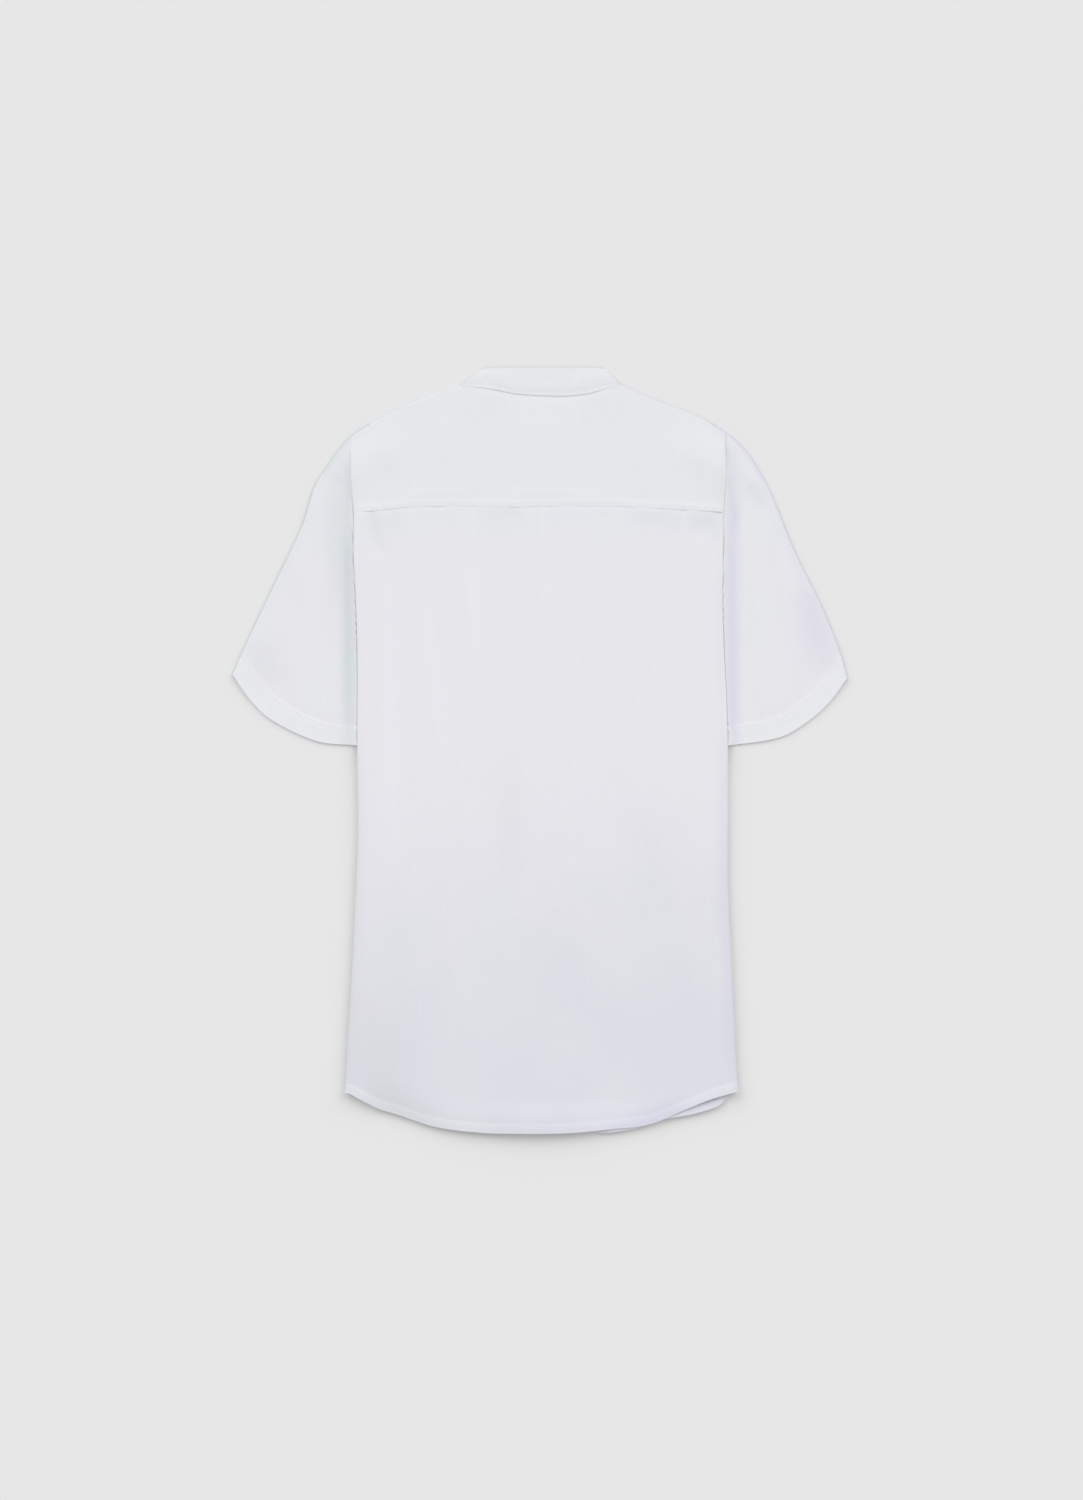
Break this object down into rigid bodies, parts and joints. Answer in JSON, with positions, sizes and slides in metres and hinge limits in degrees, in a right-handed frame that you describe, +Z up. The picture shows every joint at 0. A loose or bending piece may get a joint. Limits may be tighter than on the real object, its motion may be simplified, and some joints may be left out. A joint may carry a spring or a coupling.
{
  "type": "mandarin collar shirt",
  "caption": "White short-sleeved linen shirt with a band collar, back yoke and curved hem, laid flat with its back uppermost and its sides folded under",
  "frame": {"origin": "On the surface that the shirt lies on, under the middle of its outline", "axes": "+Z up from the surface, +Y from the hem to the collar, +X to the right seen from above; the back is uppermost, so the wearer's left is at -X"},
  "size_m": [0.616, 0.7659, 0.008],
  "materials": {
    "white_linen": "plain-weave linen, matt, slightly slubby",
    "collar_linen": "plain-weave linen, double and edge-stitched",
    "button_white": "satin, four-hole"
  },
  "bodies": {
    "root": {"back_panel": "white_linen", "back_yoke": "white_linen", "left_front": "white_linen", "right_front": "white_linen", "left_sleeve": "white_linen", "right_sleeve": "white_linen", "collar_band": "collar_linen", "button_1": "button_white", "button_2": "button_white", "button_3": "button_white", "button_4": "button_white", "button_5": "button_white", "button_6": "button_white", "button_7": "button_white"}
  },
  "joints": []
}
